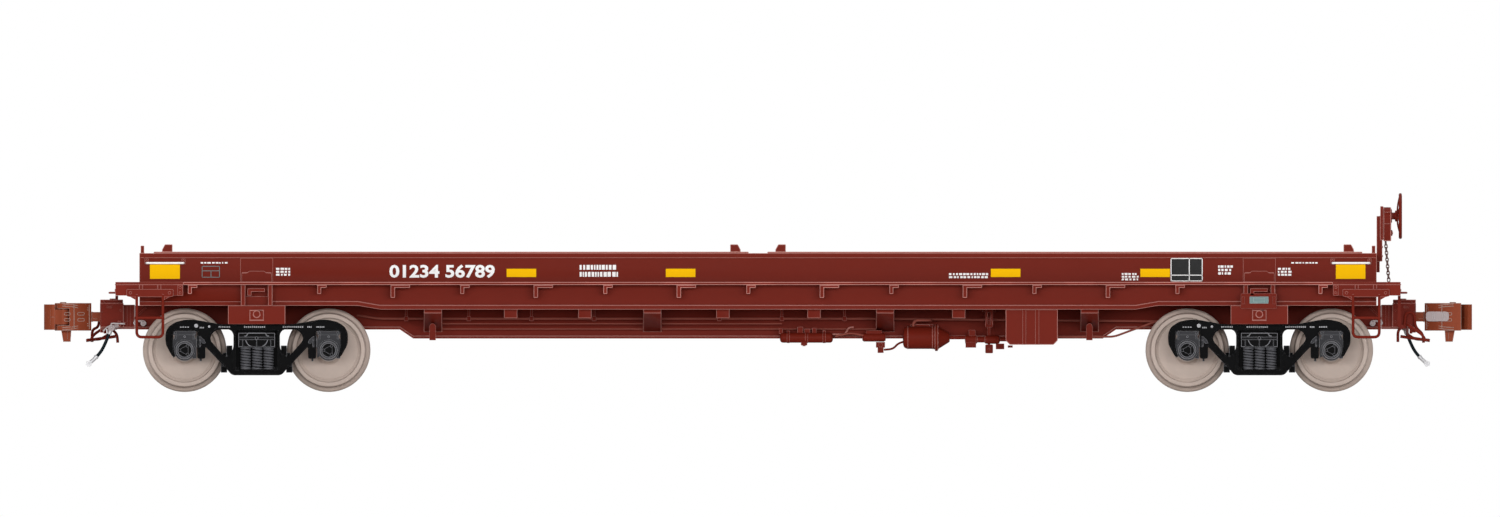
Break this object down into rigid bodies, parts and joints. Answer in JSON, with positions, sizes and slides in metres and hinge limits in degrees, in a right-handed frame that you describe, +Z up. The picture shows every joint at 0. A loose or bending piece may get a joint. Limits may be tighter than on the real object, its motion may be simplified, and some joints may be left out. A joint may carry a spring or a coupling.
{
  "type": "model railway flat car",
  "caption": "Long low flat car for model railways: deep side girders with load strips and stops, swivelling trucks, swinging knuckle couplers and a turning brake wheel.",
  "frame": {"origin": "middle of the car, on the level that the wheel flanges stand on", "axes": "+X along the car to the end with the hand brake, +Y to the left, +Z up"},
  "size_m": [0.203, 0.0358, 0.0283],
  "materials": {
    "body_paint": "satin red-brown freight car paint over a moulded and etched body",
    "coupler_rust": "satin rust-brown over cast metal",
    "truck_black": "satin black moulded plastic",
    "wheel_steel": "warm grey turned metal",
    "bare_steel": "bare steel",
    "white_wire": "white painted wire",
    "hose_rubber": "dull black rubber",
    "yellow_marking": "printed reflective yellow",
    "white_marking": "printed white",
    "black_marking": "printed black",
    "grey_tag": "grey-green plastic"
  },
  "bodies": {
    "car": {"deck_plate": "body_paint", "side_girder_left": "body_paint", "side_girder_right": "body_paint", "walkway_left": "body_paint", "walkway_right": "body_paint", "load_strip_a_left": "body_paint", "load_strip_a_right": "body_paint", "end_platform_a": "body_paint", "load_strip_b_left": "body_paint", "load_strip_b_right": "body_paint", "end_platform_b": "body_paint", "underframe": "body_paint", "body_bolster_a": "body_paint", "body_bolster_b": "body_paint", "car_weight": "bare_steel", "stirrup_a_left": "body_paint", "stirrup_a_right": "body_paint", "grab_iron_a_left": "white_wire", "grab_iron_a_right": "white_wire", "stirrup_b_left": "body_paint", "stirrup_b_right": "body_paint", "grab_iron_b_left": "white_wire", "grab_iron_b_right": "white_wire", "brake_stand": "body_paint", "brake_gear_housing": "body_paint", "brake_chain": "bare_steel", "draft_box_a": "body_paint", "uncoupling_lever_a": "body_paint", "air_hose_a": "hose_rubber", "truck_screw_a": "bare_steel", "draft_box_b": "body_paint", "uncoupling_lever_b": "body_paint", "air_hose_b": "hose_rubber", "truck_screw_b": "bare_steel", "air_reservoir": "body_paint", "brake_cylinder": "body_paint", "equipment_box": "body_paint"},
    "truck_a": {"truck_bolster_a": "truck_black", "side_frame_a_left": "truck_black", "side_frame_a_right": "truck_black"},
    "wheelset_a1": {"axle_a1": "bare_steel", "wheel_a1_left": "wheel_steel", "wheel_a1_right": "wheel_steel"},
    "wheelset_a2": {"axle_a2": "bare_steel", "wheel_a2_left": "wheel_steel", "wheel_a2_right": "wheel_steel"},
    "coupler_a": {"coupler_a": "coupler_rust"},
    "knuckle_a": {"knuckle_a": "coupler_rust"},
    "truck_b": {"truck_bolster_b": "truck_black", "side_frame_b_left": "truck_black", "side_frame_b_right": "truck_black"},
    "wheelset_b1": {"axle_b1": "bare_steel", "wheel_b1_left": "wheel_steel", "wheel_b1_right": "wheel_steel"},
    "wheelset_b2": {"axle_b2": "bare_steel", "wheel_b2_left": "wheel_steel", "wheel_b2_right": "wheel_steel"},
    "coupler_b": {"coupler_b": "coupler_rust"},
    "knuckle_b": {"knuckle_b": "coupler_rust"},
    "brake_wheel": {"brake_wheel": "body_paint"}
  },
  "joints": [
    {"name": "truck_a_swivel", "type": "hinge", "parent": "car", "child": "truck_a", "pos_m": [-0.07126, 0, 0.0087], "axis": [0, 0, 1], "range_deg": [-10, 10]},
    {"name": "wheelset_a1_spin", "type": "hinge", "parent": "truck_a", "child": "wheelset_a1", "pos_m": [-0.08149, 0, 0.00594], "axis": [0, 1, 0], "continuous": true},
    {"name": "wheelset_a2_spin", "type": "hinge", "parent": "truck_a", "child": "wheelset_a2", "pos_m": [-0.06102, 0, 0.00594], "axis": [0, 1, 0], "continuous": true},
    {"name": "coupler_a_swing", "type": "hinge", "parent": "car", "child": "coupler_a", "pos_m": [-0.09167, 0, 0.01069], "axis": [0, 0, 1], "range_deg": [-10, 10]},
    {"name": "knuckle_a_open", "type": "hinge", "parent": "coupler_a", "child": "knuckle_a", "pos_m": [-0.09875, -0.00175, 0.01065], "axis": [0, 0, 1], "range_deg": [0, 25]},
    {"name": "truck_b_swivel", "type": "hinge", "parent": "car", "child": "truck_b", "pos_m": [0.07126, 0, 0.0087], "axis": [0, 0, 1], "range_deg": [-10, 10]},
    {"name": "wheelset_b1_spin", "type": "hinge", "parent": "truck_b", "child": "wheelset_b1", "pos_m": [0.06102, 0, 0.00594], "axis": [0, 1, 0], "continuous": true},
    {"name": "wheelset_b2_spin", "type": "hinge", "parent": "truck_b", "child": "wheelset_b2", "pos_m": [0.08149, 0, 0.00594], "axis": [0, 1, 0], "continuous": true},
    {"name": "coupler_b_swing", "type": "hinge", "parent": "car", "child": "coupler_b", "pos_m": [0.09167, 0, 0.01069], "axis": [0, 0, 1], "range_deg": [-10, 10]},
    {"name": "knuckle_b_open", "type": "hinge", "parent": "coupler_b", "child": "knuckle_b", "pos_m": [0.09875, 0.00175, 0.01065], "axis": [0, 0, 1], "range_deg": [0, 25]},
    {"name": "brake_wheel_spin", "type": "hinge", "parent": "car", "child": "brake_wheel", "pos_m": [0.0913, -0.0065, 0.02501], "axis": [1, 0, 0], "continuous": true}
  ]
}
